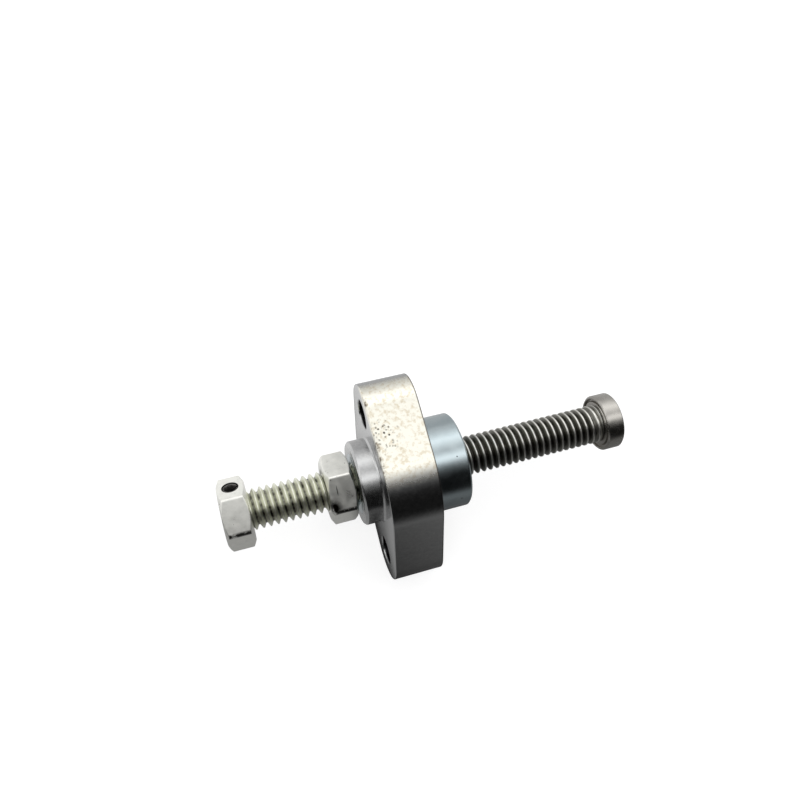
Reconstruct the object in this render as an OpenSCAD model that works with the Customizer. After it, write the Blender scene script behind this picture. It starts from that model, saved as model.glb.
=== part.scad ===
// Manual cam chain tensioner: a bolted flange carries a threaded adjuster screw.
// The screw turns in a steel sleeve and pushes a small foot against the chain guide.
// X runs along the screw towards the engine, the origin is on the screw's axis in the
// flange's engine side face, and +Z is up with the flange lying on its longest flat.
// The screw passes nearer to one bolt hole than to the other.

/* [Flange body] */
// Thickness of the flange between its two faces
flange_t = 10; // [8:0.1:13]
// Width across the round middle of the flange
flange_w = 27.1; // [25.5:0.1:29]
// Radius of the round end of each ear
ear_r = 7.3; // [6.4:0.1:8]
// Distance between the two bolt holes
bolt_spacing = 29.5; // [28.8:0.1:31]
// How far the screw's axis lies from the middle of the bolt holes
bore_offset = 1.15; // [0.5:0.05:1.4]
// How far each ear's round end is centred inside its bolt hole
ear_inset = 1.35; // [0.6:0.05:2]
// Diameter of each bolt hole
bolt_hole_d = 5.8; // [5:0.1:6.4]
// Diameter of the round collar on the outer face
collar_d = 16.8; // [15.6:0.1:18.4]
// Length of the collar
collar_len = 3.8; // [2.5:0.1:6]
// Chamfer on the outer edge of the collar
collar_chamfer = 0.45; // [0.2:0.05:0.8]
// Bevel in the corner where the collar meets the flange
collar_root = 0.3; // [0.1:0.05:0.5]
// Chamfer round the mouths of the bolt holes
hole_chamfer = 0.25; // [0.1:0.05:0.4]

/* [Spigot sleeve] */
// Diameter of the spigot that locates in the engine
spigot_d = 19; // [18:0.1:20]
// Length of the spigot beyond the flange
spigot_len = 7.4; // [5:0.1:12]
// Chamfer on the end of the spigot
spigot_chamfer = 0.4; // [0.2:0.05:1]
// Depth of the seat that holds the sleeve's shoulder in the flange
seat_depth = 1; // [0.5:0.1:3]
// Width of the shoulder's rim round the spigot, flush with the flange
seat_rim = 0.5; // [0.2:0.1:0.7]
// Diameter of the sleeve's shank inside the flange
sleeve_d = 12; // [11:0.1:13.5]
// Countersink at each mouth of the sleeve's bore
sleeve_countersink = 0.5; // [0.2:0.05:1]

/* [Adjuster screw] */
// Major diameter of the thread
thread_d = 7.94; // [7.7:0.01:8.1]
// Pitch of the thread
thread_pitch = 1.411; // [1.2:0.001:1.6]
// Radial play of the screw in the sleeve, the jam nut and the foot
running_play = 0.05; // [0.03:0.01:0.08]
// Distance from the flange face to the screw's shoulder behind the foot
screw_reach = 38.5; // [34:0.1:46]
// Bare thread between the turning nut and the backed-off jam nut
free_thread = 14.7; // [14.4:0.1:22]
// Turns of shallow, fading thread behind the foot
runout_turns = 2; // [1:1:4]
// Chamfer on the outer end of the screw
screw_chamfer = 0.7; // [0.4:0.05:1]

/* [Nuts] */
// Width across the flats of both nuts
nut_af = 12.2; // [12:0.1:13.4]
// Thickness of both nuts
nut_t = 5.3; // [4.7:0.1:6.8]
// Gap between the jam nut and the collar, half a turn of the thread
jam_gap = 0.7; // [0.5:0.01:1.4]
// Turn of the jam nut about the screw
jam_turn = 44; // [0:1:60]
// Turn of the turning nut and its cross pin about the screw
nut_turn = 37.8; // [0:0.1:60]

/* [Roll pin] */
// Diameter of the cross pin and of its hole
pin_d = 3.1; // [2.6:0.05:3.4]
// Wall of the rolled pin
pin_wall = 0.5; // [0.35:0.05:0.7]
// Width of the slot along the pin
pin_slot = 0.6; // [0.4:0.05:0.9]

/* [Foot] */
// Diameter of the foot
foot_d = 11.64; // [10.8:0.02:13]
// Thickness of the foot
foot_t = 3.65; // [3.4:0.05:5]
// Chamfer on both rims of the foot
foot_chamfer = 0.3; // [0.15:0.05:0.5]
// End play between the screw's shoulder and the foot
foot_gap = 0.1; // [0.05:0.01:0.2]
// Thickness of metal between the foot's socket and its pushing face
foot_floor = 1; // [0.8:0.05:1.5]
// Diameter of the journal that the foot turns on
journal_d = 5.2; // [4.8:0.1:5.6]
// Thickness of the ring that keeps the foot on the journal
ring_t = 0.5; // [0.35:0.05:0.7]
// Radial depth of the ring inside the journal
ring_seat = 0.5; // [0.35:0.05:0.7]
// Radial reach of the ring into the foot
ring_reach = 0.4; // [0.3:0.05:0.6]

/* [Hidden] */
$fn = 96;
// overshoot of a cutting body past the face it opens
cut = 1;

// thread form of sixty degrees with flat crests and roots
crest_r = thread_d / 2;
crest_flat = thread_pitch / 8;
thread_depth = 0.6134 * thread_pitch;
flank_w = thread_depth * tan(30);
root_r = crest_r - thread_depth;
bore_r = crest_r + running_play;

// seat that the sleeve's shoulder fills
seat_r = spigot_d / 2 + seat_rim;

// stations along the screw
collar_x = -flange_t - collar_len;
jam_x = collar_x - jam_gap - nut_t;
nut_x = jam_x - free_thread - nut_t;
thread_start = nut_x + screw_chamfer;
turns = floor((screw_reach - thread_start) / thread_pitch);
thread_end = thread_start + turns * thread_pitch;

// stations inside the foot
foot_x = screw_reach + foot_gap;
socket_depth = foot_t - foot_floor;
ring_play = 0.05;
ring_x = foot_x + (socket_depth - ring_t) / 2;
journal_end = foot_x + socket_depth - foot_gap;

// ears of the flange: places of the bolt holes and of the round ends along the ears,
// near one first, and the turn of each ear's flats away from the line through them
centre_r = flange_w / 2;
bolt_at = [bolt_spacing / 2 - bore_offset, -bolt_spacing / 2 - bore_offset];
ear_at = [bolt_at[0] - ear_inset, bolt_at[1] + ear_inset];
flat_a = [for (e = ear_at) acos((centre_r - ear_r) / abs(e))];

// turns an upright shape to lie along +X from a station
module along_x(x = 0) {
    translate([x, 0, 0]) rotate([0, 90, 0]) children();
}

// turns the flange so that the far ear's flat lies level below
module as_it_lies() {
    rotate([90 - flat_a[1], 0, 0]) children();
}

// flat outline of the flange: two round ears joined to a round middle by tangent flats
module flange_outline() {
    circle(r = centre_r);
    for (i = [0, 1]) {
        side = sign(ear_at[i]);
        along = cos(flat_a[i]) * side;
        across = sin(flat_a[i]);
        translate([0, ear_at[i]]) circle(r = ear_r);
        polygon([
            [-centre_r * across, centre_r * along],
            [-ear_r * across, ear_at[i] + ear_r * along],
            [ear_r * across, ear_at[i] + ear_r * along],
            [centre_r * across, centre_r * along]
        ]);
    }
}

// one bolt hole with a chamfered mouth at both faces
module bolt_hole() {
    r = bolt_hole_d / 2;
    along_x(-flange_t - cut) cylinder(r = r, h = flange_t + 2 * cut);
    along_x(-flange_t - cut)
        cylinder(r1 = r + hole_chamfer + cut, r2 = r, h = hole_chamfer + cut);
    along_x(-hole_chamfer)
        cylinder(r1 = r, r2 = r + hole_chamfer + cut, h = hole_chamfer + cut);
}

// collar turned in one piece with the flange
module collar() {
    r = collar_d / 2;
    along_x(collar_x)
    rotate_extrude()
    polygon([
        [0, 0],
        [r - collar_chamfer, 0],
        [r, collar_chamfer],
        [r, collar_len - collar_root],
        [r + collar_root, collar_len],
        [r + collar_root, collar_len + flange_t / 2],
        [0, collar_len + flange_t / 2]
    ]);
}

module flange_body() {
    color([0.72, 0.72, 0.71])
    as_it_lies()
    difference() {
        union() {
            along_x(-flange_t) linear_extrude(flange_t) flange_outline();
            collar();
        }
        for (y = bolt_at)
            translate([0, y, 0]) bolt_hole();
        along_x(collar_x - cut) cylinder(d = sleeve_d, h = collar_len + flange_t + 2 * cut);
        along_x(-seat_depth) cylinder(r = seat_r, h = seat_depth + cut);
    }
}

// stepped steel sleeve, its shoulder let in flush with the engine side face
module spigot_sleeve() {
    r = spigot_d / 2;
    color([0.60, 0.66, 0.68])
    along_x()
    rotate_extrude()
    polygon([
        [bore_r, collar_x + sleeve_countersink],
        [bore_r + sleeve_countersink, collar_x],
        [sleeve_d / 2, collar_x],
        [sleeve_d / 2, -seat_depth],
        [seat_r, -seat_depth],
        [seat_r, 0],
        [r, 0],
        [r, spigot_len - spigot_chamfer],
        [r - spigot_chamfer, spigot_len],
        [bore_r + sleeve_countersink, spigot_len],
        [bore_r, spigot_len - sleeve_countersink]
    ]);
}

// share of the full thread depth left in one turn, counted from the outer end
function depth_share(k) =
    k < turns - runout_turns ? 1 : 0.25 + 0.5 * (turns - 1 - k) / runout_turns;

// one turn of the thread as radius and station, from the crest into the groove and out
function groove(k) =
    let (x = thread_start + k * thread_pitch, f = depth_share(k))
    [
        [crest_r, x + crest_flat],
        [crest_r - f * thread_depth, x + crest_flat + f * flank_w],
        [crest_r - f * thread_depth, x + thread_pitch - f * flank_w]
    ];

module adjuster_screw() {
    jr = journal_d / 2;
    color([0.55, 0.56, 0.52])
    difference() {
        along_x()
        rotate_extrude()
        polygon(concat(
            [[0, nut_x], [crest_r - screw_chamfer, nut_x], [crest_r, thread_start]],
            [for (k = [0:turns - 1]) each groove(k)],
            [
                [crest_r, thread_end],
                [crest_r, screw_reach],
                [jr, screw_reach],
                [jr, ring_x],
                [jr - ring_seat, ring_x],
                [jr - ring_seat, ring_x + ring_t],
                [jr, ring_x + ring_t],
                [jr, journal_end],
                [0, journal_end]
            ]
        ));
        cross_hole();
    }
}

// hole through the turning nut and the screw for the cross pin
module cross_hole() {
    translate([nut_x + nut_t / 2, 0, 0]) rotate([nut_turn - 90, 0, 0])
        cylinder(d = pin_d, h = 2 * nut_af, center = true);
}

// hexagon nut, chamfered at both faces, drilled to a given radius
module hex_nut(x, turn, hole_r) {
    corner_r = nut_af / sqrt(3);
    face_r = 0.475 * nut_af;
    rise = (corner_r - face_r) * tan(30);
    lead = 0.35;
    difference() {
        intersection() {
            rotate([turn, 0, 0]) along_x(x) cylinder(r = corner_r, h = nut_t, $fn = 6);
            along_x(x)
            rotate_extrude()
            polygon([
                [0, 0],
                [face_r, 0],
                [corner_r, rise],
                [corner_r + cut, rise],
                [corner_r + cut, nut_t - rise],
                [corner_r, nut_t - rise],
                [face_r, nut_t],
                [0, nut_t]
            ]);
        }
        along_x(x - cut) cylinder(r = hole_r, h = nut_t + 2 * cut);
        along_x(x - cut) cylinder(r1 = hole_r + lead + cut, r2 = hole_r, h = lead + cut);
        along_x(x + nut_t - lead)
            cylinder(r1 = hole_r, r2 = hole_r + lead + cut, h = lead + cut);
    }
}

module jam_nut() {
    color([0.70, 0.69, 0.64]) hex_nut(jam_x, jam_turn, bore_r);
}

module turning_nut() {
    color([0.68, 0.68, 0.65])
    difference() {
        hex_nut(nut_x, nut_turn, crest_r);
        cross_hole();
    }
}

// rolled spring pin, flush with the nut's flats
module roll_pin() {
    r = pin_d / 2;
    color([0.45, 0.45, 0.45])
    translate([nut_x + nut_t / 2, 0, 0])
    rotate([nut_turn - 90, 0, 0])
    difference() {
        cylinder(r = r, h = nut_af, center = true);
        cylinder(r = r - pin_wall, h = nut_af + 2 * cut, center = true);
        translate([0, -pin_slot / 2, -nut_af / 2 - cut])
            cube([r + cut, pin_slot, nut_af + 2 * cut]);
    }
}

// round foot with a blind socket and an inner groove for the ring
module foot() {
    r = foot_d / 2;
    sr = journal_d / 2 + running_play;
    gr = journal_d / 2 + ring_reach + ring_play;
    color([0.62, 0.60, 0.56])
    along_x(foot_x)
    rotate_extrude()
    polygon([
        [sr, 0],
        [r - foot_chamfer, 0],
        [r, foot_chamfer],
        [r, foot_t - foot_chamfer],
        [r - foot_chamfer, foot_t],
        [0, foot_t],
        [0, socket_depth],
        [sr, socket_depth],
        [sr, ring_x - foot_x + ring_t + ring_play],
        [gr, ring_x - foot_x + ring_t + ring_play],
        [gr, ring_x - foot_x - ring_play],
        [sr, ring_x - foot_x - ring_play]
    ]);
}

// open ring that sits in the journal and reaches into the foot
module snap_ring() {
    inner = journal_d / 2 - ring_seat;
    outer = journal_d / 2 + ring_reach;
    opening = 1.2 * inner;
    color([0.35, 0.35, 0.36])
    difference() {
        along_x(ring_x) cylinder(r = outer, h = ring_t);
        along_x(ring_x - cut) cylinder(r = inner, h = ring_t + 2 * cut);
        translate([ring_x - cut, 0, -opening / 2])
            cube([ring_t + 2 * cut, outer + cut, opening]);
    }
}

flange_body();
spigot_sleeve();
adjuster_screw();
turning_nut();
roll_pin();
jam_nut();
foot();
snap_ring();
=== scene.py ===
"""Looks of the manual cam chain tensioner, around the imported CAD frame.

Lengths are millimetres and become metres by MM where a mesh is made. X runs along the
screw towards the engine, the origin is in the flange's engine side face, and +Z is up.
"""
from math import acos, asin, cos, pi, radians, sin, tan

import bmesh
import bpy
import numpy as np
from mathutils import Matrix, Vector


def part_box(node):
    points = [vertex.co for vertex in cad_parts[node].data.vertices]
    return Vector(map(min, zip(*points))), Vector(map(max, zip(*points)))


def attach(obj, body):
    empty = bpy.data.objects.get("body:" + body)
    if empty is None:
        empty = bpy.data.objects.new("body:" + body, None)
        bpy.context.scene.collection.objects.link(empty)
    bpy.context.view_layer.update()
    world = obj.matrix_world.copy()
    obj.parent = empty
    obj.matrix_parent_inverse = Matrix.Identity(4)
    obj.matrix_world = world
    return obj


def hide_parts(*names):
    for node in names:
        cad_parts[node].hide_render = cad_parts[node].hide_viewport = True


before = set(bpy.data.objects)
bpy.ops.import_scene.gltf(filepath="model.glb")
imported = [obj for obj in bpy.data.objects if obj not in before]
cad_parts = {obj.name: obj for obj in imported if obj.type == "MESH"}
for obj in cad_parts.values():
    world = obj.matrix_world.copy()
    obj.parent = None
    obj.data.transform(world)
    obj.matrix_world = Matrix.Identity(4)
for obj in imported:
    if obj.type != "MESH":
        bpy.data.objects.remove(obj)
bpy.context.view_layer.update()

MM = 0.001


def span(node, axis):
    """Lowest and highest coordinate of a CAD node along one axis, in millimetres."""
    low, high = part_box(node)
    return low[axis] / MM, high[axis] / MM


# Sizes of the part, from the frame where a node's box gives them

COLLAR_X = span("flange_body", 0)[0]
COLLAR_R = 8.4
COLLAR_CHAMFER = 0.45
COLLAR_ROOT = 0.3
FLANGE_T = 10.0
CENTRE_R = 13.55
EAR_R = 7.3
NEAR_BOLT = 13.6
FAR_BOLT = 15.9
EAR_INSET = 1.35
BOLT_HOLE_R = 2.9
HOLE_CHAMFER = 0.25
SEAT_DEPTH = 1.0
FLANGE_EDGE = 0.2

SPIGOT_END = span("spigot_sleeve", 0)[1]
SPIGOT_R = 9.5
SEAT_R = span("spigot_sleeve", 2)[1]
SLEEVE_R = 6.0
BORE_R = 4.02
SPIGOT_CHAMFER = 0.4
COUNTERSINK = 0.5

SCREW_X, JOURNAL_END = span("adjuster_screw", 0)
CREST_R = 3.97
PITCH = 1.411
THREAD_DEPTH = 0.6134 * PITCH
CREST_AT = -33.33
SCREW_CHAMFER = 0.7
RUNOUT_TURNS = 2
FOOT_GAP = 0.1
JOURNAL_R = 2.6
RING_SEAT = 0.5
RING_X, RING_END = span("snap_ring", 0)

NUT_AF = 12.2
NUT_LEAD = 0.35
NUT_FACE_R = 0.475 * NUT_AF
NUT_CORNER_ORDER = 70
JAM_SHORT = 0.02
JAM_TURN = radians(44.0)
NUT_TURN = radians(37.8)
JAM_X, JAM_END = span("jam_nut", 0)
NUT_X, NUT_END = span("turning_nut", 0)

PIN_X = (NUT_X + NUT_END) / 2
PIN_R = 1.55
PIN_WALL = 0.5
PIN_SLOT = 0.6
PIN_SHORT = 0.12

FOOT_X, FOOT_END = span("foot", 0)
FOOT_R = span("foot", 2)[1]
FOOT_CHAMFER = 0.3
FOOT_FLOOR = 1.0
LIP_R = 5.25
LIP_DEPTH = 0.6
RING_REACH = 0.4
SOCKET_PLAY = 0.05
SCREW_REACH = FOOT_X - FOOT_GAP

# the ears' round ends and the turn of their flats, near ear first
EAR_AT = (NEAR_BOLT - EAR_INSET, FAR_BOLT - EAR_INSET)
FLAT_TURN = tuple(acos((CENTRE_R - EAR_R) / at) for at in EAR_AT)
LIE_TURN = pi / 2 - FLAT_TURN[1]

# the table top, a hair under the flat that the flange lies on
TABLE_Z = -CENTRE_R - 0.05

# both bolt holes' (y, z) as the flange lies
BOLT_CENTRES = [(at * cos(LIE_TURN), at * sin(LIE_TURN)) for at in (NEAR_BOLT, -FAR_BOLT)]

# places of wear seen in the photograph
RIM_DENT = (-10.0, 13.6, 12.1)
DENT_R = 1.1
DENT_DEPTH = 0.28
SPECK_PATCH = (-8.3, 6.6, 13.05)
RIM_DIRT = (-10.0, 3.0, 13.4)
JAM_GRIME = (-19.4, -3.8, 5.2)
SCRATCH_X = -18.1


# Meshes

def grid_quads(rows, cols, first=0):
    """Quads over points numbered row by row from first: each joins a row to the next and
    a column to the next, and the last column joins the first."""
    index = first + np.arange(rows * cols).reshape(rows, cols)
    right = np.roll(index, -1, axis=1)
    return np.stack([index[:-1], index[1:], right[1:], right[:-1]], -1).reshape(-1, 4)


def new_piece(name, body, nodes, material):
    """An empty piece that rides on a body, stands for its CAD nodes and has a finish."""
    piece = bpy.data.objects.new(name, bpy.data.meshes.new(name))
    bpy.context.collection.objects.link(piece)
    piece.data.materials.append(material)
    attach(piece, body)
    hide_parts(*nodes)
    return piece


def tidy_mesh(mesh, fill_at=(), sharp=radians(32)):
    """Merges doubles, fills the flat faces at the stations in fill_at from their
    outlines, points faces outwards and marks the edges that turn more than sharp."""
    bm = bmesh.new()
    bm.from_mesh(mesh)
    bmesh.ops.remove_doubles(bm, verts=bm.verts, dist=2e-7)
    bmesh.ops.dissolve_degenerate(bm, edges=bm.edges, dist=2e-7)
    for station in fill_at:
        rim = [e for e in bm.edges if e.is_boundary
               and all(abs(v.co.x - station * MM) < 1e-6 for v in e.verts)]
        bmesh.ops.triangle_fill(bm, edges=rim, use_beauty=True)
    bmesh.ops.recalc_face_normals(bm, faces=bm.faces)
    for edge in bm.edges:
        edge.smooth = edge.calc_face_angle(0.0) < sharp
    for face in bm.faces:
        face.smooth = True
    bm.to_mesh(mesh)
    bm.free()
    mesh.update()


def fill_mesh(mesh, sheets, quads=None, fill_at=()):
    """Puts grids of points, each (rows, columns, 3) in millimetres, into a mesh."""
    points = np.concatenate([sheet.reshape(-1, 3) for sheet in sheets]) * MM
    if quads is None:
        starts = np.cumsum([0] + [sheet.shape[0] * sheet.shape[1] for sheet in sheets])
        quads = np.concatenate([grid_quads(*sheet.shape[:2], first)
                                for sheet, first in zip(sheets, starts)])
    mesh.from_pydata(points.tolist(), [], quads.tolist())
    tidy_mesh(mesh, fill_at)


def revolve(profile, count=192, centre=(0.0, 0.0)):
    """A profile of (station, radius) pairs carried round an axis parallel to X: a point is
    (station, centre y + radius cos t, centre z + radius sin t) for t over a full turn."""
    profile = np.asarray(profile, float)
    turn = 2 * pi * np.arange(count) / count
    x, r = profile[:, :1], profile[:, 1:2]
    return np.stack([x + 0 * turn, centre[0] + r * np.cos(turn),
                     centre[1] + r * np.sin(turn)], -1)


def softened(corners, radius=0.06, steps=4):
    """A path through corners with every inner corner eased: near a corner the point is
    (1-s)^2 start + 2s(1-s) corner + s^2 end, with start and end set back on the legs."""
    corners = np.asarray(corners, float)
    path = [corners[:1]]
    share = np.linspace(0, 1, steps)[:, None]
    for before, corner, after in zip(corners, corners[1:], corners[2:]):
        back, ahead = before - corner, after - corner
        start = corner + back * min(0.45, radius / np.linalg.norm(back))
        end = corner + ahead * min(0.45, radius / np.linalg.norm(ahead))
        path.append((1 - share) ** 2 * start + 2 * share * (1 - share) * corner
                    + share ** 2 * end)
    path.append(corners[-1:])
    return np.concatenate(path)


PIN_AXIS = np.array([0.0, cos(NUT_TURN), sin(NUT_TURN)])
PIN_SIDE = np.array([0.0, sin(NUT_TURN), -cos(NUT_TURN)])
SCREW_AXIS = np.array([1.0, 0.0, 0.0])


def cross_rod(count=64):
    """A closed rod across the turning nut for its pin's hole: a point is the hole's middle
    + along * pin axis + out * radius * (cos t * screw axis + sin t * pin side)."""
    turn = 2 * pi * np.arange(count)[:, None] / count
    rim = PIN_R * (np.cos(turn) * SCREW_AXIS + np.sin(turn) * PIN_SIDE)
    reach = NUT_AF / 2 + 1
    ends = [(-reach, 0.0), (-reach, 1.0), (reach, 1.0), (reach, 0.0)]
    mesh = bpy.data.meshes.new("cross_rod")
    fill_mesh(mesh, [np.stack([PIN_X * SCREW_AXIS + along * PIN_AXIS + out * rim
                               for along, out in ends])])
    return mesh


def drill(piece):
    """Takes the cross pin's hole out of a piece by an exact Boolean and applies it."""
    rod = cross_rod()
    cutter = bpy.data.objects.new("cutter", rod)
    bpy.context.collection.objects.link(cutter)
    cut = piece.modifiers.new("cut", "BOOLEAN")
    cut.operation = "DIFFERENCE"
    cut.solver = "EXACT"
    cut.object = cutter
    graph = bpy.context.evaluated_depsgraph_get()
    drilled = bpy.data.meshes.new_from_object(piece.evaluated_get(graph))
    piece.modifiers.clear()
    blank, piece.data = piece.data, drilled
    bpy.data.objects.remove(cutter)
    bpy.data.meshes.remove(blank)
    bpy.data.meshes.remove(rod)
    drilled.name = piece.name
    tidy_mesh(drilled)


# Materials

def linear(code):
    """An sRGB hex colour as linear red, green, blue and alpha."""
    parts = np.array([int(code[i:i + 2], 16) for i in (1, 3, 5)]) / 255
    parts = np.where(parts <= 0.04045, parts / 12.92, ((parts + 0.055) / 1.055) ** 2.4)
    return (*parts.tolist(), 1.0)


def add(tree, kind, inputs, out=0, **settings):
    """Adds a node with its settings, fills or links its inputs, and gives an output. An
    input is a number, a hex colour or another node's output."""
    node = tree.nodes.new("ShaderNode" + kind)
    for name, value in settings.items():
        setattr(node, name, value)
    for key, value in inputs.items():
        if isinstance(value, bpy.types.NodeSocket):
            tree.links.new(value, node.inputs[key])
        else:
            node.inputs[key].default_value = linear(value) if isinstance(value, str) else value
    return node.outputs[out] if node.outputs else node


def new_metal(name):
    """An empty material: it, its tree and the object coordinates, in metres."""
    material = bpy.data.materials.new(name)
    material.use_nodes = True
    tree = material.node_tree
    tree.nodes.clear()
    return material, tree, add(tree, "TexCoord", {}, out=3)


def along_and_out(tree, place):
    """The station along the screw and the distance from its axis, in metres."""
    split = add(tree, "SeparateXYZ", {0: place}).node.outputs
    across = add(tree, "CombineXYZ", {1: split[1], 2: split[2]})
    return split[0], add(tree, "VectorMath", {0: across}, out=1, operation="LENGTH")


def close_metal(tree, colour, roughness, normal):
    """Joins colour, roughness and normal into the metal's shader and output."""
    shader = add(tree, "BsdfPrincipled", {
        "Base Color": colour, "Metallic": 1.0, "Roughness": roughness, "Normal": normal})
    add(tree, "OutputMaterial", {"Surface": shader})


def tumbled_aluminium():
    """Milled and tumbled aluminium: a satin, faintly mottled grey that holds a soft image
    of the room. The open top flat is painted a lighter, mottled cream as painted light where
    it faces the window, grit has left dark specks in one patch, brown dirt lies on the outer
    rim and face above the collar, the dent is painted darker brown, a dark hairline is painted
    along the engine side edge, and the bolt holes are painted black inside as shade."""
    material, tree, place = new_metal("tumbled_aluminium")
    station, radius = along_and_out(tree, place)
    # mottle 0.7 mm, stains 0.8 mm, grit 0.6 mm apart
    mottle = add(tree, "TexNoise", {
        "Vector": place, "Scale": 1 / (0.7 * MM), "Detail": 4.0, "Roughness": 0.6})
    stain = add(tree, "TexNoise", {
        "Vector": place, "Scale": 1 / (0.8 * MM), "Detail": 4.0, "Roughness": 0.65})
    grit = add(tree, "TexVoronoi", {"Vector": place, "Scale": 1 / (0.6 * MM)})
    grey = add(tree, "Mix", {0: mottle, 6: "#A9AAAB", 7: "#C6C6C5"}, out=2, data_type="RGBA")
    # the open top flat is painted a lighter cream: painted light where it faces the window
    upward = add(tree, "VectorMath", {0: place, 1: (0, 0.2, 1)}, out=1,
                 operation="DOT_PRODUCT")
    lit_top_flat = add(tree, "MapRange", {
        0: upward, 1: 12.3 * MM, 2: 13.6 * MM, 3: 0.0, 4: 1.0})
    painted_light_cream = add(tree, "MapRange", {0: stain, 1: 0.36, 2: 0.52, 3: 0.0, 4: 1.0})
    painted_light_cream = add(tree, "Mix", {0: painted_light_cream, 6: "#D9D0BC", 7: "#EFEDE2"}, out=2, data_type="RGBA")
    colour = add(tree, "Mix", {0: lit_top_flat, 6: grey, 7: painted_light_cream}, out=2, data_type="RGBA")
    from_patch, from_dirt, from_dent = [add(tree, "VectorMath", {
        0: place, 1: [c * MM for c in spot]}, out=1, operation="DISTANCE")
        for spot in (SPECK_PATCH, RIM_DIRT, RIM_DENT)]
    patch = add(tree, "MapRange", {0: from_patch, 1: 1.4 * MM, 2: 4.2 * MM, 3: 1.0, 4: 0.0})
    dots = add(tree, "MapRange", {0: grit, 1: 0.2, 2: 0.42, 3: 1.0, 4: 0.0})
    some = add(tree, "MapRange", {0: stain, 1: 0.5, 2: 0.58, 3: 1.0, 4: 0.0})
    dots = add(tree, "Math", {0: dots, 1: some}, operation="MULTIPLY")
    dots = add(tree, "Math", {0: dots, 1: patch}, operation="MULTIPLY")
    colour = add(tree, "Mix", {0: dots, 6: colour, 7: "#2A2118"}, out=2, data_type="RGBA")
    rim_dirt_and_dent = add(tree, "MapRange", {0: from_dirt, 1: 2.4 * MM, 2: 4.6 * MM, 3: 1.0, 4: 0.0})
    # the dent is painted darker brown
    in_dent = add(tree, "MapRange", {0: from_dent, 1: 0.8 * MM, 2: 1.5 * MM, 3: 1.0, 4: 0.0})
    rim_dirt_and_dent = add(tree, "Math", {0: rim_dirt_and_dent, 1: in_dent}, operation="MAXIMUM")
    at_rim = add(tree, "MapRange", {
        0: station, 1: -FLANGE_T * MM, 2: (-FLANGE_T + 0.7) * MM, 3: 1.0, 4: 0.0})
    rim_dirt_and_dent = add(tree, "Math", {0: rim_dirt_and_dent, 1: at_rim}, operation="MULTIPLY")
    broken = add(tree, "MapRange", {0: stain, 1: 0.42, 2: 0.52, 3: 0.95, 4: 0.2})
    rim_dirt_and_dent = add(tree, "Math", {0: rim_dirt_and_dent, 1: broken}, operation="MULTIPLY")
    colour = add(tree, "Mix", {0: rim_dirt_and_dent, 6: colour, 7: "#3E2C1E"}, out=2, data_type="RGBA")
    # a dark hairline is painted over the last 0.2 mm towards the engine side, outside the seat
    outside = add(tree, "Math", {0: radius, 1: (SEAT_R + 0.5) * MM}, operation="GREATER_THAN")
    hairline = add(tree, "MapRange", {0: station, 1: -0.3 * MM, 2: -0.2 * MM, 3: 0.0, 4: 0.8})
    hairline = add(tree, "Math", {0: hairline, 1: outside}, operation="MULTIPLY")
    colour = add(tree, "Mix", {0: hairline, 6: colour, 7: "#3B342E"}, out=2, data_type="RGBA")
    # the bolt holes are painted near black inside: painted shade
    from_near, from_far = [add(tree, "VectorMath", {
        0: place, 1: add(tree, "CombineXYZ", {0: station, 1: y * MM, 2: z * MM})},
        out=1, operation="DISTANCE") for y, z in BOLT_CENTRES]
    from_bolt = add(tree, "Math", {0: from_near, 1: from_far}, operation="MINIMUM")
    bolt_hole_shade = add(tree, "MapRange", {
        0: from_bolt, 1: BOLT_HOLE_R * MM, 2: (BOLT_HOLE_R + 0.15) * MM, 3: 0.92, 4: 0.0})
    colour = add(tree, "Mix", {0: bolt_hole_shade, 6: colour, 7: "#17191B"}, out=2, data_type="RGBA")
    satin = add(tree, "MapRange", {0: mottle, 1: 0.3, 2: 0.7, 3: 0.19, 4: 0.25})
    roughness = add(tree, "Math", {0: lit_top_flat, 1: 0.12, 2: satin}, operation="MULTIPLY_ADD")
    normal = add(tree, "Bump", {"Height": mottle, "Strength": 0.1, "Distance": 0.004 * MM})
    close_metal(tree, colour, roughness, normal)
    return material


def blue_zinc_plate():
    """Bright zinc plate with a clear blue passivate over turned steel: a cold grey with a
    crisp highlight, fine lines round the axis and a few dark nicks."""
    material, tree, place = new_metal("blue_zinc_plate")
    cloud = add(tree, "TexNoise", {"Vector": place, "Scale": 1 / (2.5 * MM), "Detail": 5.0})
    nicks = add(tree, "TexVoronoi", {"Vector": place, "Scale": 1 / (2.4 * MM)})
    # tool lines 0.3 mm apart, drawn coarser than the real feed so that they show
    lines = add(tree, "TexNoise", {
        "Vector": add(tree, "Mapping", {0: place, 3: (1.0, 0.02, 0.02)}),
        "Scale": 1 / (0.3 * MM), "Detail": 2.0})
    colour = add(tree, "Mix", {0: cloud, 6: "#A4B1B6", 7: "#C0CBCE"}, out=2, data_type="RGBA")
    dark = add(tree, "MapRange", {0: nicks, 1: 0.05, 2: 0.08, 3: 0.8, 4: 0.0})
    colour = add(tree, "Mix", {0: dark, 6: colour, 7: "#23282B"}, out=2, data_type="RGBA")
    roughness = add(tree, "MapRange", {0: cloud, 1: 0.3, 2: 0.7, 3: 0.15, 4: 0.25})
    normal = add(tree, "Bump", {"Height": lines, "Strength": 0.12, "Distance": 0.01 * MM})
    close_metal(tree, colour, roughness, normal)
    return material


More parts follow.
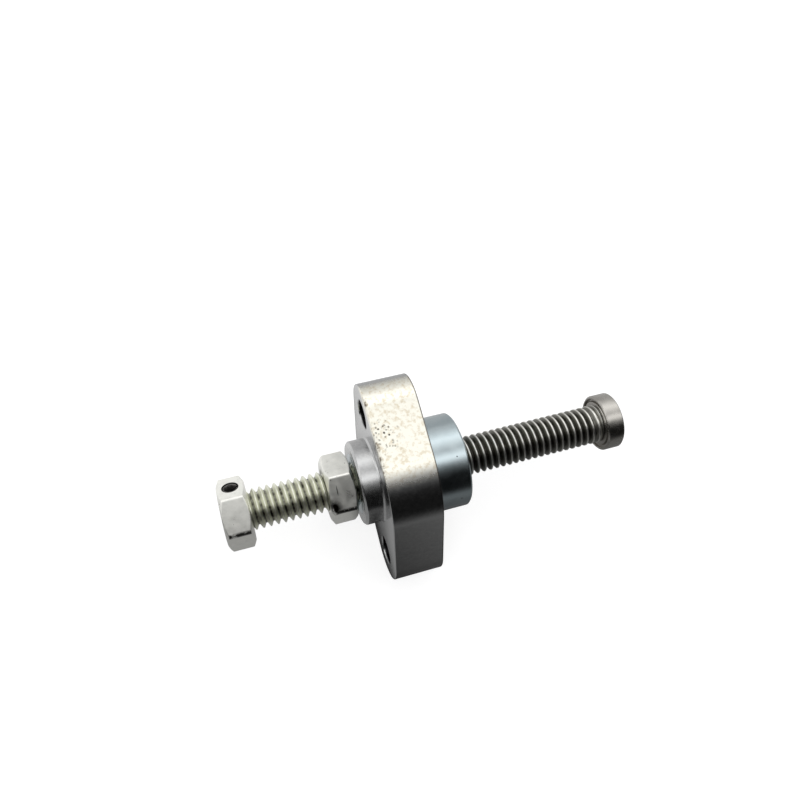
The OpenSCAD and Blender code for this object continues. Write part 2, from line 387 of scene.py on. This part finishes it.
def thread_zinc():
    """Zinc plate on a rolled thread: crests rubbed bright, roots dark with old oil and painted
    shade, an olive cast on the outer side of the flange and a greyer oil film on the engine
    side."""
    material, tree, place = new_metal("thread_zinc")
    station, radius = along_and_out(tree, place)
    cloud = add(tree, "TexNoise", {
        "Vector": place, "Scale": 1 / (0.8 * MM), "Detail": 5.0, "Roughness": 0.6})
    outer = add(tree, "Mix", {0: cloud, 6: "#C9CAB6", 7: "#F4F5EA"}, out=2, data_type="RGBA")
    rubbed = add(tree, "MapRange", {
        0: radius, 1: (CREST_R - 0.2) * MM, 2: (CREST_R - 0.04) * MM, 3: 0.0, 4: 1.0})
    inner = add(tree, "Mix", {0: cloud, 6: "#66655F", 7: "#94938C"}, out=2, data_type="RGBA")
    inner = add(tree, "Mix", {0: rubbed, 6: inner, 7: "#E2E1DB"}, out=2, data_type="RGBA")
    engine_side = add(tree, "MapRange", {
        0: station, 1: -5 * MM, 2: 5 * MM, 3: 0.0, 4: 1.0})
    colour = add(tree, "Mix", {0: engine_side, 6: outer, 7: inner}, out=2, data_type="RGBA")
    # old oil and painted shade lie dark in the bottom of the groove, deeper on the engine
    # side,
    # and their level wanders: noise is added to the radius, so 0.12 mm is added to the heights
    # that it is held to
    height = add(tree, "Math", {0: cloud, 1: 0.3 * MM, 2: radius}, operation="MULTIPLY_ADD")
    root, shallow, deep = [(CREST_R - share * THREAD_DEPTH + 0.12) * MM
                           for share in (1.0, 0.8, 0.45)]
    oil_and_shade_brim = add(tree, "MapRange", {0: engine_side, 1: 0.0, 2: 1.0, 3: shallow, 4: deep})
    above = add(tree, "MapRange", {0: height, 1: root, 2: oil_and_shade_brim, 3: 0.0, 4: 1.0})
    colour = add(tree, "Mix", {0: above, 6: "#33312B", 7: colour}, out=2, data_type="RGBA")
    roughness = add(tree, "MapRange", {0: cloud, 1: 0.3, 2: 0.7, 3: 0.28, 4: 0.42})
    normal = add(tree, "Bump", {"Height": cloud, "Strength": 0.3, "Distance": 0.02 * MM})
    close_metal(tree, colour, roughness, normal)
    return material


def dull_zinc():
    """Dull zinc plate on pressed steel nuts: a pale, slightly cream grey, softly pitted
    and scuffed, with painted shade along the lower ridges on the viewer's side, black grime
    in one lower corner of the jam nut, a short scratch on its flat, and painted shade in
    the cross pin's hole."""
    material, tree, place = new_metal("dull_zinc")
    radius = along_and_out(tree, place)[1]
    cloud = add(tree, "TexNoise", {
        "Vector": place, "Scale": 1 / (1.4 * MM), "Detail": 6.0, "Roughness": 0.62})
    pits = add(tree, "TexVoronoi", {"Vector": place, "Scale": 1 / (1.6 * MM)})
    colour = add(tree, "Mix", {0: cloud, 6: "#D2D3CD", 7: "#FDFCF6"}, out=2, data_type="RGBA")
    pit = add(tree, "MapRange", {0: pits, 1: 0.06, 2: 0.11, 3: 0.6, 4: 0.0})
    colour = add(tree, "Mix", {0: pit, 6: colour, 7: "#57554E"}, out=2, data_type="RGBA")
    away = add(tree, "VectorMath", {
        0: place, 1: [c * MM for c in JAM_GRIME]}, out=1, operation="DISTANCE")
    grime_and_shade = add(tree, "MapRange", {0: away, 1: 0.8 * MM, 2: 1.9 * MM, 3: 1.0, 4: 0.0})
    # the ridges reach beyond the flats, and those that face the viewer's side, away from the
    # window, are painted dark as shade
    viewer_side = add(tree, "VectorMath", {0: place, 1: (0, -1, 0.6)}, out=1,
                      operation="DOT_PRODUCT")
    facing_viewer = add(tree, "MapRange", {0: viewer_side, 1: 6.4 * MM, 2: 6.9 * MM, 3: 0.0, 4: 1.0})
    ridge = add(tree, "MapRange", {0: radius, 1: 6.72 * MM, 2: 6.86 * MM, 3: 0.0, 4: 0.9})
    ridge = add(tree, "Math", {0: ridge, 1: facing_viewer}, operation="MULTIPLY")
    grime_and_shade = add(tree, "Math", {0: grime_and_shade, 1: ridge}, operation="MAXIMUM")
    broken = add(tree, "MapRange", {0: cloud, 1: 0.5, 2: 0.6, 3: 1.0, 4: 0.3})
    grime_and_shade = add(tree, "Math", {0: grime_and_shade, 1: broken}, operation="MULTIPLY")
    # the scratch is a thin slot across the jam nut's upper flat, 2 mm long: the distance
    # from its middle leaves Z out and squeezes Y, so that it grows slowly along the scratch
    squeeze = 0.11
    from_scratch = add(tree, "VectorMath", {
        0: add(tree, "Mapping", {0: place, 3: (1.0, squeeze, 0.0)}),
        1: (SCRATCH_X * MM, -squeeze * 0.7 * MM, 0)}, out=1, operation="DISTANCE")
    height = add(tree, "SeparateXYZ", {0: place}, out=2)
    on_top = add(tree, "Math", {0: height, 1: 5.0 * MM}, operation="GREATER_THAN")
    scratch = add(tree, "MapRange", {
        0: from_scratch, 1: 0.07 * MM, 2: 0.13 * MM, 3: 0.8, 4: 0.0})
    scratch = add(tree, "Math", {0: scratch, 1: on_top}, operation="MULTIPLY")
    grime_and_shade = add(tree, "Math", {0: grime_and_shade, 1: scratch}, operation="MAXIMUM")
    from_pin = add(tree, "VectorMath", {0: place, 1: (PIN_X * MM, 0, 0)},
                   operation="SUBTRACT")
    from_pin = add(tree, "VectorMath", {0: from_pin, 1: PIN_AXIS.tolist()},
                   operation="CROSS_PRODUCT")
    from_pin = add(tree, "VectorMath", {0: from_pin}, out=1, operation="LENGTH")
    # the wall of the cross pin's hole is painted dark: painted shade in the gap round the pin
    pin_hole_shade = add(tree, "MapRange", {
        0: from_pin, 1: (PIN_R + 0.02) * MM, 2: (PIN_R + 0.1) * MM, 3: 1.0, 4: 0.0})
    grime_and_shade = add(tree, "Math", {0: grime_and_shade, 1: pin_hole_shade}, operation="MAXIMUM")
    colour = add(tree, "Mix", {0: grime_and_shade, 6: colour, 7: "#15110D"}, out=2, data_type="RGBA")
    roughness = add(tree, "MapRange", {0: cloud, 1: 0.3, 2: 0.7, 3: 0.26, 4: 0.4})
    normal = add(tree, "Bump", {"Height": cloud, "Strength": 0.35, "Distance": 0.03 * MM})
    close_metal(tree, colour, roughness, normal)
    return material


def turned_steel():
    """Bare turned steel: a warm grey under a thin oil film, with close lines round the
    axis that stretch its highlight."""
    material, tree, place = new_metal("turned_steel")
    cloud = add(tree, "TexNoise", {"Vector": place, "Scale": 1 / (2.0 * MM), "Detail": 5.0})
    # tool lines 0.25 mm apart, drawn coarser than the real feed so that they show
    lines = add(tree, "TexNoise", {
        "Vector": add(tree, "Mapping", {0: place, 3: (1.0, 0.02, 0.02)}),
        "Scale": 1 / (0.25 * MM), "Detail": 2.0})
    colour = add(tree, "Mix", {0: cloud, 6: "#9F9C97", 7: "#C4C1BB"}, out=2, data_type="RGBA")
    roughness = add(tree, "MapRange", {0: cloud, 1: 0.3, 2: 0.7, 3: 0.2, 4: 0.32})
    normal = add(tree, "Bump", {"Height": lines, "Strength": 0.15, "Distance": 0.01 * MM})
    close_metal(tree, colour, roughness, normal)
    return material


def spring_steel():
    """Rolled and blackened spring steel: dark, rubbed grey in places."""
    material, tree, place = new_metal("spring_steel")
    scale = add(tree, "TexNoise", {"Vector": place, "Scale": 1 / (0.4 * MM), "Detail": 3.0})
    colour = add(tree, "Mix", {0: scale, 6: "#343332", 7: "#8E8C88"}, out=2, data_type="RGBA")
    roughness = add(tree, "MapRange", {0: scale, 1: 0.3, 2: 0.7, 3: 0.35, 4: 0.5})
    normal = add(tree, "Bump", {"Height": scale, "Strength": 0.3, "Distance": 0.01 * MM})
    close_metal(tree, colour, roughness, normal)
    return material


# Pieces

def arc(centre, radius, start, end, count):
    """Points on a circle centred on the line of the ears, from one turn to another."""
    turn = np.linspace(start, end, count)
    return np.stack([centre + radius * np.cos(turn), radius * np.sin(turn)], -1)


def flange_outline(inset):
    """The flange's outline moved inwards by inset: arcs about the near ear, the middle and
    the far ear, joined by flats (1-s) * end of one arc + s * start of the next."""
    near, far = FLAT_TURN
    ear, middle = EAR_R - inset, CENTRE_R - inset
    arcs = [arc(EAR_AT[0], ear, -near, near, 61), arc(0, middle, near, pi - far, 49),
            arc(-EAR_AT[1], ear, pi - far, pi + far, 61),
            arc(0, middle, pi + far, 2 * pi - near, 49)]
    share = np.linspace(0, 1, 26)[1:-1, None]
    flats = [(1 - share) * one[-1] + share * after[0]
             for one, after in zip(arcs, arcs[1:] + arcs[:1])]
    return np.concatenate([part for pair in zip(arcs, flats) for part in pair])


def as_it_lies(uv):
    """Turns flange coordinates (along the ears, across) to (y, z) as the flange lies."""
    c, s = cos(LIE_TURN), sin(LIE_TURN)
    return uv @ np.array([[c, s], [-s, c]])


def flange_piece():
    """The rim is the outline carried along X, drawn in by e(1-sin t) while the station
    moves by e(1-cos t) at both edges, with a dent d(1-q^2)^2 where q, the distance from
    the dent over its radius, is under 1. The collar, bore and bolt holes are revolved."""
    turn = np.linspace(0, pi / 2, 5)
    draw = FLANGE_EDGE * (1 - np.sin(turn))
    ahead = FLANGE_EDGE * (1 - np.cos(turn))
    between = np.linspace(-FLANGE_T, 0, 40)[1:-1]
    stations = np.concatenate([-FLANGE_T + ahead, between, -ahead[::-1]])
    draws = np.concatenate([draw, np.zeros(between.size), draw[::-1]])
    outlines = [as_it_lies(flange_outline(inset)) for inset in draws]
    rim = np.stack([np.column_stack([np.full(len(outline), x), outline])
                    for x, outline in zip(stations, outlines)])
    away = np.linalg.norm(rim - np.array(RIM_DENT), axis=-1) / DENT_R
    dent = DENT_DEPTH * np.clip(1 - away ** 2, 0, None) ** 2
    inwards = -np.array([RIM_DENT[1], RIM_DENT[2]]) / np.hypot(*RIM_DENT[1:])
    rim[..., 1:] += dent[..., None] * inwards
    collar = softened([
        (-FLANGE_T, COLLAR_R + COLLAR_ROOT), (-FLANGE_T - COLLAR_ROOT, COLLAR_R),
        (COLLAR_X + COLLAR_CHAMFER, COLLAR_R), (COLLAR_X, COLLAR_R - COLLAR_CHAMFER),
        (COLLAR_X, SLEEVE_R), (-SEAT_DEPTH, SLEEVE_R), (-SEAT_DEPTH, SEAT_R),
        (0, SEAT_R)], 0.1)
    hole = softened([
        (-FLANGE_T, BOLT_HOLE_R + HOLE_CHAMFER), (-FLANGE_T + HOLE_CHAMFER, BOLT_HOLE_R),
        (-HOLE_CHAMFER, BOLT_HOLE_R), (0, BOLT_HOLE_R + HOLE_CHAMFER)], 0.08)
    holes = [revolve(hole, 96, centre) for centre in BOLT_CENTRES]
    piece = new_piece("flange", "housing", ["flange_body"], tumbled_aluminium())
    fill_mesh(piece.data, [rim, revolve(collar)] + holes, fill_at=(-FLANGE_T, 0))


def sleeve_piece():
    """A closed profile round the screw: bore, both faces, spigot, shoulder and shank."""
    profile = softened([
        (COLLAR_X + COUNTERSINK, BORE_R), (COLLAR_X, BORE_R + COUNTERSINK),
        (COLLAR_X, SLEEVE_R), (-SEAT_DEPTH, SLEEVE_R), (-SEAT_DEPTH, SEAT_R),
        (0, SEAT_R), (0, SPIGOT_R), (SPIGOT_END - SPIGOT_CHAMFER, SPIGOT_R),
        (SPIGOT_END, SPIGOT_R - SPIGOT_CHAMFER), (SPIGOT_END, BORE_R + COUNTERSINK),
        (SPIGOT_END - COUNTERSINK, BORE_R), (COLLAR_X + COUNTERSINK, BORE_R)], 0.1)
    piece = new_piece("sleeve", "housing", ["spigot_sleeve"], blue_zinc_plate())
    fill_mesh(piece.data, [revolve(profile)])


# one pitch of the thread from crest to root: share of the pitch, and share of the depth
GROOVE_PLACES = [0, 0.05, 0.09, 0.14, 0.36, 0.40, 0.45, 0.5]
GROOVE_DEPTHS = [0, 0.0, 0.05, 0.17, 0.85, 0.95, 1.0, 1.0]


def thread_radius(x, turn):
    """Radius of the screw at a station and a turn: a right-hand helix of eased sixty
    degree grooves, where (x - crest) / pitch - turn / full turn is the place in a pitch,
    its depth fading over the last turns, inside the chamfer of the outer end."""
    place = np.mod((x - CREST_AT) / PITCH - turn / (2 * pi) + 0.5, 1.0) - 0.5
    groove = np.interp(np.abs(place), GROOVE_PLACES, GROOVE_DEPTHS)
    left = (SCREW_REACH - x) / (RUNOUT_TURNS * PITCH)
    radius = CREST_R - THREAD_DEPTH * np.clip(0.2 + 0.8 * left, 0, 1) * groove
    return np.minimum(radius, CREST_R - SCREW_CHAMFER + (x - SCREW_X))


def screw_piece():
    """Rows of the thread follow the helix, x = crest + pitch * (row + turn / full turn),
    held between both ends, and the last column meets the first one pitch further on. The
    outer end is closed on the axis, and the journal with its ring groove is revolved."""
    count = 120
    places = np.array([-p for p in GROOVE_PLACES[:0:-1]] + GROOVE_PLACES[:-1])
    first = np.floor((SCREW_X - CREST_AT) / PITCH) - 2
    pitches = int((SCREW_REACH - SCREW_X) / PITCH) + 6
    rows = (first + np.arange(pitches)[:, None] + places).ravel()
    turn = 2 * pi * np.arange(count) / count
    x = np.clip(CREST_AT + PITCH * (rows[:, None] + turn / (2 * pi)), SCREW_X, SCREW_REACH)
    r = thread_radius(x, turn)
    helix = np.stack([x, r * np.cos(turn), r * np.sin(turn)], -1)
    index = np.arange(rows.size * count).reshape(rows.size, count)
    onward = np.minimum(np.arange(rows.size) + places.size, rows.size - 1)
    right = np.column_stack([index[:, 1:], index[onward, 0]])
    quads = np.stack([index[:-1], index[1:], right[1:], right[:-1]], -1).reshape(-1, 4)
    quads = quads[quads[:, 2] != quads[:, 3]]
    outer_end = np.stack([np.zeros_like(helix[0]) + [SCREW_X, 0, 0], helix[0]])
    journal = revolve([
        (SCREW_REACH, JOURNAL_R), (RING_X, JOURNAL_R), (RING_X, JOURNAL_R - RING_SEAT),
        (RING_END, JOURNAL_R - RING_SEAT), (RING_END, JOURNAL_R),
        (JOURNAL_END, JOURNAL_R), (JOURNAL_END, 0)], count)
    inner_end = np.concatenate([helix[-1:], journal])
    quads = np.concatenate([
        quads, grid_quads(2, count, index.size),
        grid_quads(inner_end.shape[0], count, index.size + 2 * count)])
    piece = new_piece("screw", "screw", ["adjuster_screw"], thread_zinc())
    fill_mesh(piece.data, [helix, outer_end, inner_end], quads)
    drill(piece)


def nut_rows(x_start, x_end, nut_turn, hole_r):
    """Rows of a nut round the screw. The hexagon's radius is (sum over the flats of (cos
    (t - flat) / half the width)^n)^(-1/n), whose high order n eases its corners, and the
    thirty degree cone of each face ends at that radius: bore, lead, face, cone, flats."""
    sector = np.concatenate([np.linspace(-30, -25, 9, endpoint=False),
                             np.linspace(-25, 25, 26, endpoint=False),
                             np.linspace(25, 30, 9, endpoint=False)])
    local = np.radians((sector + 60 * np.arange(6)[:, None]).ravel())
    facing = np.clip(np.cos(local - radians(60) * np.arange(6)[:, None]), 0, None)
    outer = ((facing / (NUT_AF / 2)) ** NUT_CORNER_ORDER).sum(0) ** (-1 / NUT_CORNER_ORDER)
    full = np.ones_like(outer)
    rise = (outer - NUT_FACE_R) * tan(radians(30))
    ease = 0.12
    half = [(NUT_LEAD * full, hole_r * full), (0 * full, (hole_r + NUT_LEAD) * full),
            (0 * full, (NUT_FACE_R - ease) * full), (0.25 * ease * full, NUT_FACE_R * full),
            (rise - 0.3 * ease, outer - 0.5 * ease), (rise + 0.5 * ease, outer - 0.1 * ease),
            (rise + 1.4 * ease, outer)]
    start = [(x_start + dx, r) for dx, r in half]
    end = [(x_end - dx, r) for dx, r in half[::-1]]
    turn = local + nut_turn
    return np.stack([np.stack([x, r * np.cos(turn), r * np.sin(turn)], -1)
                     for x, r in start + end + start[:1]])


def nut_pieces():
    """The jam nut on its own body, a hair short of the sleeve when it is home, and the
    turning nut, drilled for the cross pin."""
    zinc = dull_zinc()
    jam = new_piece("jam_nut_hex", "lock", ["jam_nut"], zinc)
    fill_mesh(jam.data, [nut_rows(JAM_X, JAM_END - JAM_SHORT, JAM_TURN, BORE_R)])
    turning = new_piece("turning_nut_hex", "screw", ["turning_nut"], zinc)
    fill_mesh(turning.data, [nut_rows(NUT_X, NUT_END, NUT_TURN, CREST_R)])
    drill(turning)


def pin_piece(steel):
    """The rolled pin is a band carried along the pin axis: it runs from one lip of the
    slot round the outside to the other lip and back round the inside, r (cos t * screw
    axis + sin t * pin side), and both ends are eased."""
    count = 49
    lip = asin(PIN_SLOT / 2 / PIN_R)
    turn = np.linspace(lip, 2 * pi - lip, count)
    turn = np.concatenate([turn, turn[::-1]])[:, None]
    draws = np.array([0.2, 0.15, 0.0, 0.0, 0.15, 0.2])
    half = NUT_AF / 2 - PIN_SHORT
    along = np.array([-half, 0.06 - half, 0.6 - half, half - 0.6, half - 0.06, half])
    outside = np.repeat([True, False], count)[:, None]
    r = np.where(outside, PIN_R - draws[:, None, None],
                 PIN_R - PIN_WALL + draws[:, None, None])
    band = (PIN_X * SCREW_AXIS + along[:, None, None] * PIN_AXIS
            + r * (np.cos(turn) * SCREW_AXIS + np.sin(turn) * PIN_SIDE))
    out, back = np.arange(count), np.arange(count, 2 * count)[::-1]
    end = np.stack([out[:-1], out[1:], back[1:], back[:-1]], -1)
    last_row = (draws.size - 1) * 2 * count
    quads = np.concatenate([grid_quads(draws.size, 2 * count), end, end + last_row])
    piece = new_piece("cross_pin", "screw", ["roll_pin"], steel)
    fill_mesh(piece.data, [band], quads)


def foot_piece():
    """The foot's profile from the socket's floor over the land round the screw, the groove
    inside the rim and the rim to the pushing face."""
    socket_r = JOURNAL_R + SOCKET_PLAY
    groove_r = JOURNAL_R + RING_REACH + SOCKET_PLAY
    groove_x, groove_end = RING_X - SOCKET_PLAY, RING_END + SOCKET_PLAY
    profile = softened([
        (FOOT_END - FOOT_FLOOR, 0), (FOOT_END - FOOT_FLOOR, socket_r),
        (groove_end, socket_r), (groove_end, groove_r),
        (groove_x, groove_r), (groove_x, socket_r),
        (FOOT_X, socket_r), (FOOT_X, LIP_R - 0.65), (FOOT_X + LIP_DEPTH, LIP_R - 0.5),
        (FOOT_X + LIP_DEPTH, LIP_R - 0.1), (FOOT_X, LIP_R), (FOOT_X, FOOT_R - FOOT_CHAMFER),
        (FOOT_X + FOOT_CHAMFER, FOOT_R), (FOOT_END - FOOT_CHAMFER, FOOT_R),
        (FOOT_END, FOOT_R - FOOT_CHAMFER), (FOOT_END, 0)], 0.08)
    piece = new_piece("foot_button", "pusher", ["foot"], turned_steel())
    fill_mesh(piece.data, [revolve(profile, 160)])


flange_piece()
sleeve_piece()
screw_piece()
nut_pieces()
pin_steel = spring_steel()
pin_piece(pin_steel)
foot_piece()
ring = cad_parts["snap_ring"]
ring.data.materials.clear()
ring.data.materials.append(pin_steel)


# Floor, light and camera

def staged_sheet(name, corners):
    """A flat four-cornered sheet of the studio, with an empty material tree."""
    mesh = bpy.data.meshes.new(name)
    mesh.from_pydata([[c * MM for c in corner] for corner in corners], [], [(0, 1, 2, 3)])
    sheet = bpy.data.objects.new(name, mesh)
    bpy.context.collection.objects.link(sheet)
    material = bpy.data.materials.new(name)
    material.use_nodes = True
    material.node_tree.nodes.clear()
    mesh.materials.append(material)
    return material.node_tree


def white_table():
    """A white table top that keeps the shadow. What the camera sees of it is lifted to
    white where the light falls. Shiny metal doesn't see that white: it sees painted light of
    its own, bright beyond the object, and a painted shadow, dim on the viewer's side and
    darkest by the spigot."""
    tree = staged_sheet("table_top", [(-900, -420, TABLE_Z), (900, -420, TABLE_Z),
                                      (900, 900, TABLE_Z), (-900, 900, TABLE_Z)])
    path = add(tree, "LightPath", {}).node.outputs
    seen = add(tree, "Math", {0: path["Is Camera Ray"], 1: path["Is Transmission Ray"]},
               operation="MAXIMUM")
    lift = add(tree, "Emission", {0: "#FFFFFF", 1: add(
        tree, "Math", {0: seen, 1: 0.8}, operation="MULTIPLY")})
    paint = add(tree, "BsdfDiffuse", {0: "#A6A6A6"})
    table = add(tree, "AddShader", {0: paint, 1: lift})
    split = add(tree, "SeparateXYZ", {0: add(tree, "TexCoord", {}, out=3)}).node.outputs
    # what metal sees of the table is painted by place: a painted shadow of the part on the
    # viewer's side, darkest by the spigot, and painted light brighter towards the window
    # beyond
    in_shade = add(tree, "MapRange", {0: split[0], 1: -10 * MM, 2: 30 * MM, 3: 0.04, 4: 0.2})
    viewer_side = add(tree, "MapRange", {
        0: split[0], 1: -14 * MM, 2: -10.5 * MM, 3: 0.36, 4: in_shade})
    window_side = add(tree, "MapRange", {
        0: split[0], 1: -22 * MM, 2: -8 * MM, 3: 1.05, 4: 0.62})
    level = add(tree, "MapRange", {
        0: split[1], 1: -3 * MM, 2: 12 * MM, 3: viewer_side, 4: window_side})
    painted_light_in_metal = add(tree, "Emission", {0: "#FFFFFF", 1: level})
    add(tree, "OutputMaterial", {0: add(tree, "MixShader", {
        0: path["Is Glossy Ray"], 1: table, 2: painted_light_in_metal})})


# brightness of the room by the turn about the screw, in degrees from +Y over the top: the
# levels were set until the sleeve, collar and foot showed the photograph's bands of light
ROOM_STRENGTH = 1.8
ROOM_LEVELS = (
    (-180, 0.06), (-90, 0.3), (-60, 0.37), (0, 0.42), (12, 0.5), (24, 0.7), (38, 1.0),
    (53, 0.7), (65, 0.48), (74, 0.62), (84, 1.0), (91, 0.85), (98, 0.4), (105, 0.16),
    (112, 0.08), (122, 0.02), (130, 0.005), (170, 0.005), (180, 0.06))


def room_light():
    """A plain room with two strips of window, one overhead and one beyond the object, and
    dark on the viewer's side. Only the camera sees it white."""
    world = bpy.data.worlds.new("room")
    bpy.context.scene.world = world
    world.use_nodes = True
    tree = world.node_tree
    tree.nodes.clear()
    split = add(tree, "SeparateXYZ", {0: add(tree, "TexCoord", {})}).node.outputs
    turn = add(tree, "Math", {0: split[2], 1: split[1]}, operation="ARCTAN2")
    share = add(tree, "MapRange", {0: turn, 1: -pi, 2: pi, 3: 0.0, 4: 1.0})
    band = add(tree, "ValToRGB", {0: share})
    stops = band.node.color_ramp.elements
    stops.remove(stops[1])
    for angle, level in ROOM_LEVELS:
        position = (angle + 180) / 360
        stop = stops[0] if position == 0 else stops.new(position)
        stop.position = position
        stop.color = (level, level, level, 1)
    room = add(tree, "Background", {0: band, 1: ROOM_STRENGTH})
    white = add(tree, "Background", {0: "#FFFFFF", 1: 1.0})
    camera_ray = add(tree, "LightPath", {})
    add(tree, "OutputWorld", {0: add(tree, "MixShader", {0: camera_ray, 1: room, 2: white})})


def window_lamp():
    """A soft window beyond the object: a rectangular lamp that faces the origin. Metal
    sees the room's strips in its place."""
    lamp = bpy.data.lights.new("window", "AREA")
    lamp.shape = "RECTANGLE"
    lamp.size = 0.34
    lamp.size_y = 0.15
    lamp.energy = 0.4
    rig = bpy.data.objects.new("window", lamp)
    rig.visible_glossy = False
    bpy.context.collection.objects.link(rig)
    height, distance = radians(55), 0.5
    away = Vector((0.1, cos(height), sin(height))).normalized()
    rig.location = distance * away
    rig.rotation_euler = away.to_track_quat("Z", "X").to_euler()


def photo_camera():
    """The photograph's camera: its place, and a direction given by azimuth and elevation,
    rolled about its own axis."""
    azimuth, elevation, roll = radians(58.48), radians(76.017), radians(44.723)
    ahead = Vector((cos(elevation) * sin(azimuth), cos(elevation) * cos(azimuth),
                    -sin(elevation)))
    level = ahead.cross(Vector((0, 0, 1))).normalized()
    above = level.cross(ahead)
    right = cos(roll) * level + sin(roll) * above
    up = cos(roll) * above - sin(roll) * level
    lens = bpy.data.cameras.new("photo_camera")
    lens.sensor_width = 36
    lens.lens = 34.45
    lens.clip_start = 0.005
    camera = bpy.data.objects.new("photo_camera", lens)
    bpy.context.collection.objects.link(camera)
    turn = Matrix((right, up, -ahead)).transposed()
    place = Vector((-32.702, -5.427, 150.308)) * MM
    camera.matrix_world = Matrix.Translation(place) @ turn.to_4x4()
    bpy.context.scene.camera = camera


white_table()
room_light()
window_lamp()
photo_camera()
bpy.context.scene.view_settings.view_transform = "Standard"
